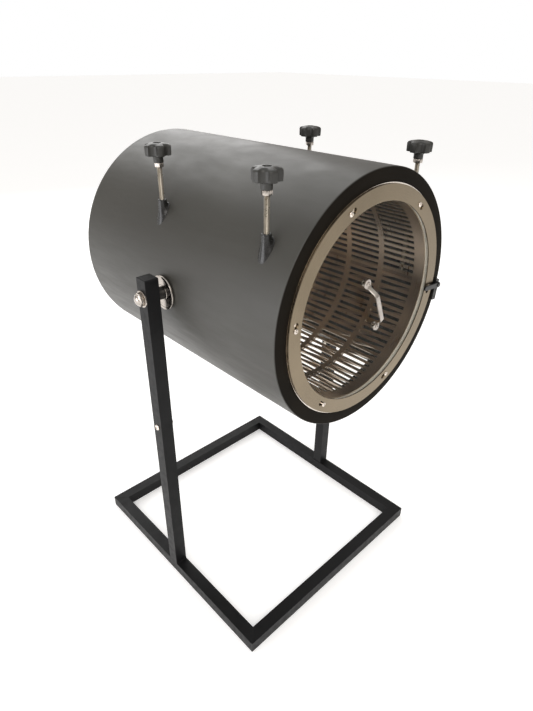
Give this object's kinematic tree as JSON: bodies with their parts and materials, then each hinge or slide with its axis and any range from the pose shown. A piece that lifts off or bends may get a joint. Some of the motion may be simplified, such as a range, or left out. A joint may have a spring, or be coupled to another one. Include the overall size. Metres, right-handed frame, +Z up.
{
  "type": "tilting rotary drum trimmer",
  "caption": "Tilting rotary drum trimmer: slotted steel drum in a black pipe casing on trunnions between square-tube posts, with a clear door and star-knob adjusted cutter grate.",
  "frame": {"origin": "on the floor, in the middle of the whole footprint; the tilt axis stands over it, 8.7 mm behind", "axes": "+Z up, -Y towards the door, +X along the tilt axis to the right as seen from the door"},
  "size_m": [0.6326, 0.6524, 1.051],
  "materials": {
    "black_powder_coat": "satin black powder coat",
    "black_pipe": "satin black extruded pipe",
    "black_plastic": "moulded black plastic",
    "black_rubber": "matt",
    "stainless_sheet": "brushed",
    "bright_steel": "bright plated",
    "zinc_steel": "zinc plated",
    "clear_window": "clear polished",
    "white_bearing_plastic": "natural machined plastic",
    "motor_grey": "semi-gloss enamel"
  },
  "bodies": {
    "stand": {"base_frame": "black_powder_coat", "lower_posts": "black_powder_coat", "upper_posts": "black_powder_coat", "post_spigots": "black_powder_coat", "post_caps": "black_plastic", "post_joint_bolts": "bright_steel", "post_joint_nuts": "bright_steel", "pivot_bushes": "black_plastic"},
    "casing": {"casing_pipe": "black_pipe", "rod_bosses": "black_pipe", "trunnion_saddles": "black_rubber", "trunnion_discs": "stainless_sheet", "trunnion_bolts": "bright_steel", "pivot_washers": "bright_steel", "pivot_cap_nuts": "bright_steel", "mouth_ring": "white_bearing_plastic", "door_flange": "stainless_sheet", "door_gasket": "black_rubber", "lid_screws": "bright_steel", "latch_base": "black_plastic", "latch_screws": "bright_steel", "latch_pin": "bright_steel", "bulkhead": "zinc_steel", "bearing_housing": "zinc_steel", "drum_bearing": "zinc_steel", "motor_bracket": "zinc_steel", "gearbox": "motor_grey", "motor": "motor_grey", "rear_cover": "stainless_sheet", "cover_screws": "bright_steel", "power_inlet": "black_plastic", "switch_housing": "black_plastic"},
    "lid": {"lid_ring": "stainless_sheet", "window_pane": "clear_window", "handle": "stainless_sheet", "handle_screws": "bright_steel", "handle_washers": "bright_steel", "handle_nuts": "bright_steel"},
    "latch": {"latch_finger": "black_plastic"},
    "drum": {"drum_shell": "stainless_sheet", "drum_end_plate": "stainless_sheet", "drum_hub": "zinc_steel", "drum_shaft": "zinc_steel", "shaft_coupler": "zinc_steel", "gearbox_output_shaft": "zinc_steel"},
    "grate": {"cutter_grate": "stainless_sheet", "rod_retaining_pins": "bright_steel"},
    "switch": {"switch_rocker": "black_plastic"},
    "rod_front_left": {"adjusting_rod_front_left": "zinc_steel", "lock_nut_front_left": "bright_steel", "star_knob_front_left": "black_plastic"},
    "rod_front_right": {"adjusting_rod_front_right": "zinc_steel", "lock_nut_front_right": "bright_steel", "star_knob_front_right": "black_plastic"},
    "rod_rear_left": {"adjusting_rod_rear_left": "zinc_steel", "lock_nut_rear_left": "bright_steel", "star_knob_rear_left": "black_plastic"},
    "rod_rear_right": {"adjusting_rod_rear_right": "zinc_steel", "lock_nut_rear_right": "bright_steel", "star_knob_rear_right": "black_plastic"}
  },
  "joints": [
    {"name": "casing_tilt", "type": "hinge", "parent": "stand", "child": "casing", "pos_m": [0, 0.00871, 0.785], "axis": [1, 0, 0], "range_deg": [-90, 90]},
    {"name": "drum_spin", "type": "hinge", "parent": "casing", "child": "drum", "pos_m": [0, 0.00871, 0.785], "axis": [0, -1, 0], "continuous": true},
    {"name": "lid_turn", "type": "hinge", "parent": "casing", "child": "lid", "pos_m": [0, 0.00871, 0.785], "axis": [0, -1, 0], "range_deg": [0, 2.7]},
    {"name": "latch_swing", "type": "hinge", "parent": "casing", "child": "latch", "pos_m": [0.23709, -0.30129, 0.76426], "axis": [0, -1, 0], "range_deg": [0, 90]},
    {"name": "grate_lift", "type": "slide", "parent": "casing", "child": "grate", "axis": [0, 0, 1], "range_m": [-0.006, 0.001]},
    {"name": "switch_rock", "type": "hinge", "parent": "casing", "child": "switch", "pos_m": [0.042, 0.32171, 0.61], "axis": [1, 0, 0], "range_deg": [0, 14]},
    {"name": "rod_turn_front_left", "type": "hinge", "parent": "grate", "child": "rod_front_left", "pos_m": [-0.207, -0.23529, 0.785], "axis": [0, 0, 1], "range_deg": [-1441, 241]},
    {"name": "rod_turn_front_right", "type": "hinge", "parent": "grate", "child": "rod_front_right", "pos_m": [0.207, -0.23529, 0.785], "axis": [0, 0, 1], "range_deg": [-1441, 241]},
    {"name": "rod_turn_rear_left", "type": "hinge", "parent": "grate", "child": "rod_rear_left", "pos_m": [-0.207, 0.05471, 0.785], "axis": [0, 0, 1], "range_deg": [-1441, 241]},
    {"name": "rod_turn_rear_right", "type": "hinge", "parent": "grate", "child": "rod_rear_right", "pos_m": [0.207, 0.05471, 0.785], "axis": [0, 0, 1], "range_deg": [-1441, 241]}
  ],
  "couplings": [
    {"joint": "rod_turn_front_left", "follows": "grate_lift", "rad_per_m": 4188.8},
    {"joint": "rod_turn_front_right", "follows": "grate_lift", "rad_per_m": 4188.8},
    {"joint": "rod_turn_rear_left", "follows": "grate_lift", "rad_per_m": 4188.8},
    {"joint": "rod_turn_rear_right", "follows": "grate_lift", "rad_per_m": 4188.8}
  ]
}
